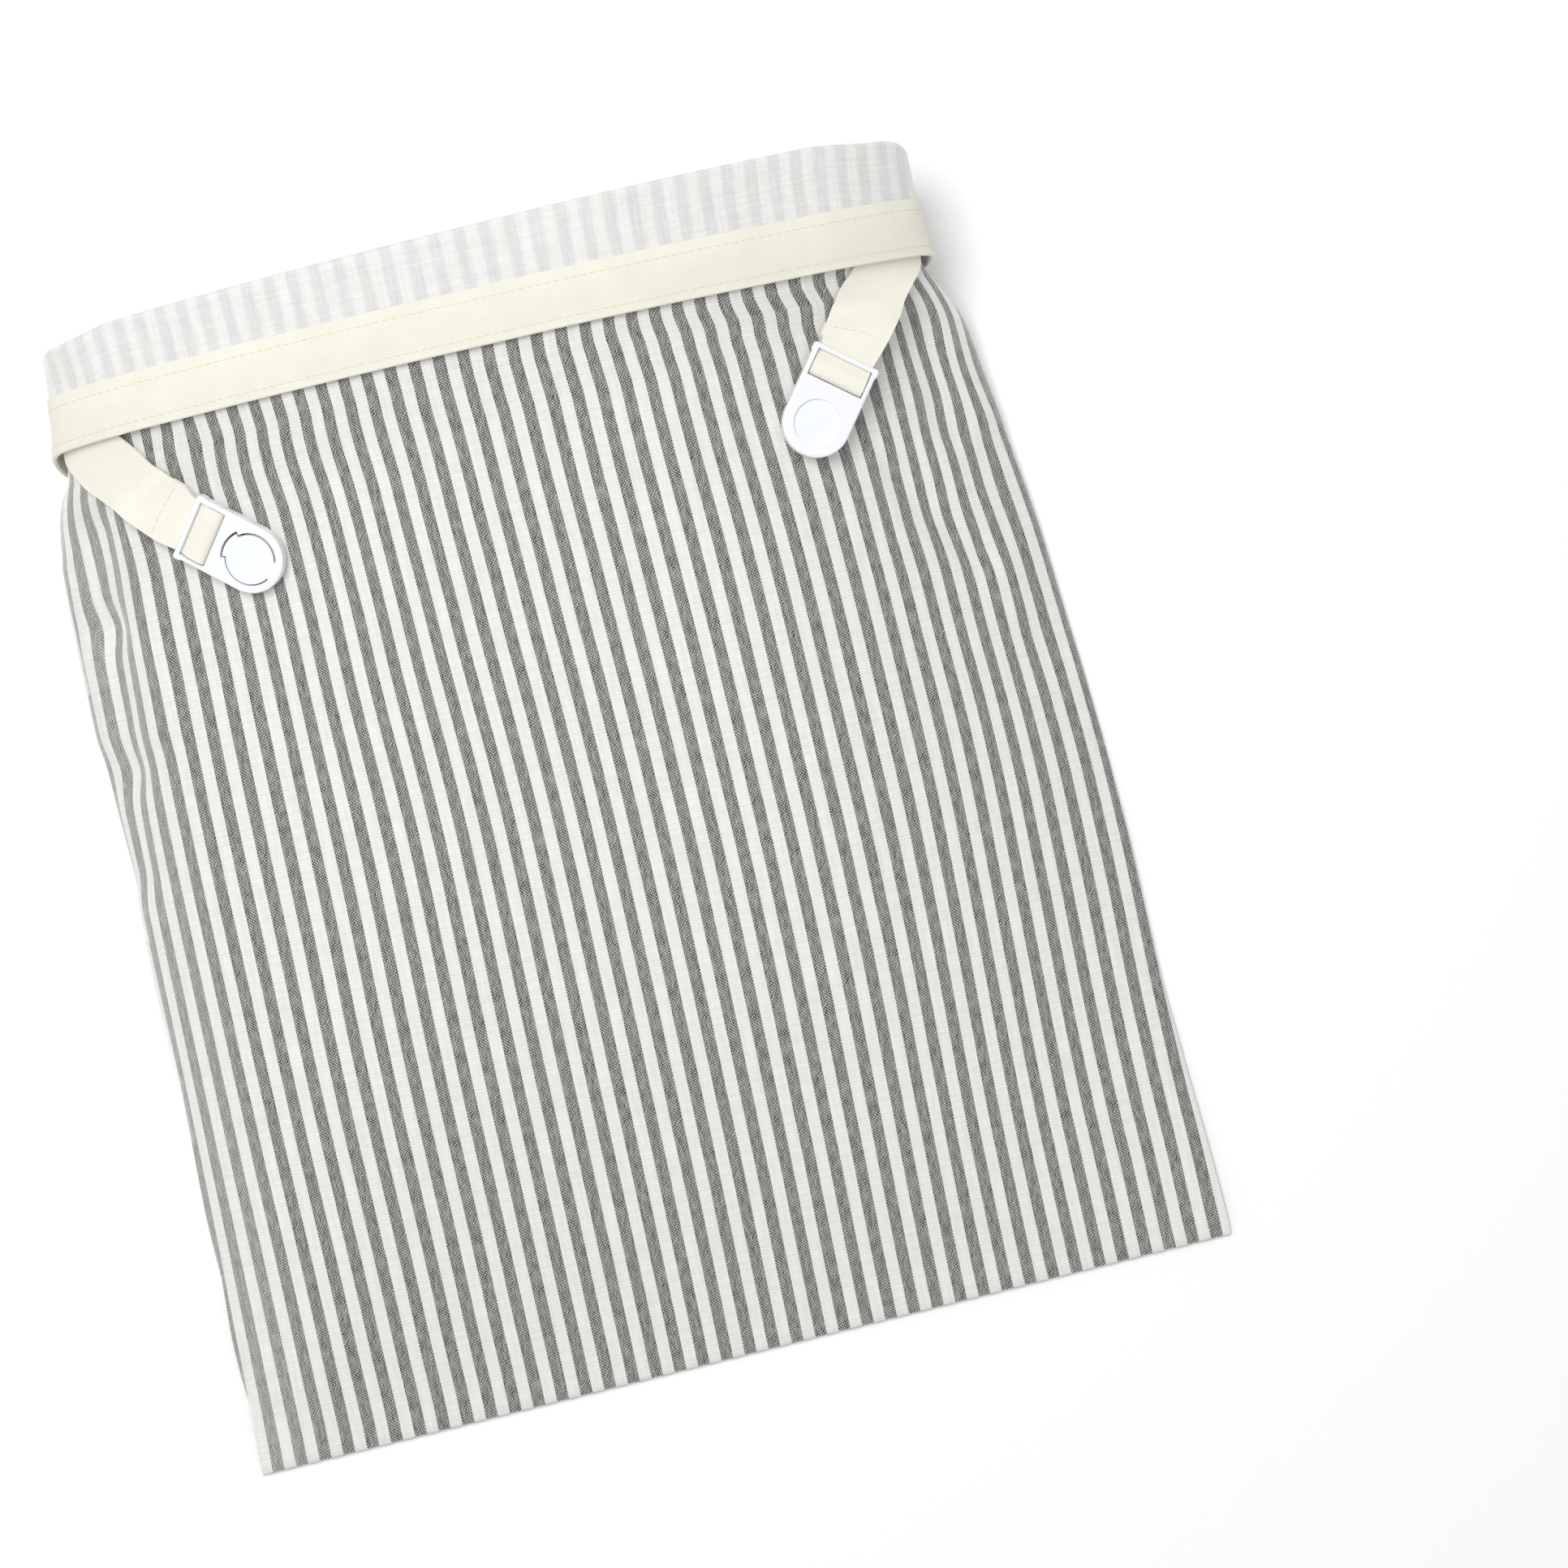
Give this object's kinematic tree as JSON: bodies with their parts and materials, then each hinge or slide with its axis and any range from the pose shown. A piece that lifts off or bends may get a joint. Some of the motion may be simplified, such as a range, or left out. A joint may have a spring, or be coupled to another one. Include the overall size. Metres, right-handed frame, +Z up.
{
  "type": "linen bread bag",
  "caption": "Striped linen bread bag lying on its back, with an open mouth turned down as a cuff, a bound edge and strap tabs with snap buckle halves.",
  "frame": {"origin": "on the surface the bag lies on, below the middle of its bounding box", "axes": "+X across the bag to its sewn side, +Y from the bottom seam to the mouth, +Z up from the back panel to the front"},
  "size_m": [0.3508, 0.3984, 0.0941],
  "materials": {
    "striped_linen": "plain weave, yarn-dyed grey and white stripes",
    "binding_tape": "cream cotton twill",
    "strap_tape": "cream cotton twill",
    "white_moulding": "fine satin"
  },
  "bodies": {
    "root": {"bag_body": "striped_linen", "mouth_binding": "binding_tape", "strap_left": "strap_tape", "strap_right": "strap_tape", "buckle_left": "white_moulding", "buckle_right": "white_moulding"}
  },
  "joints": []
}
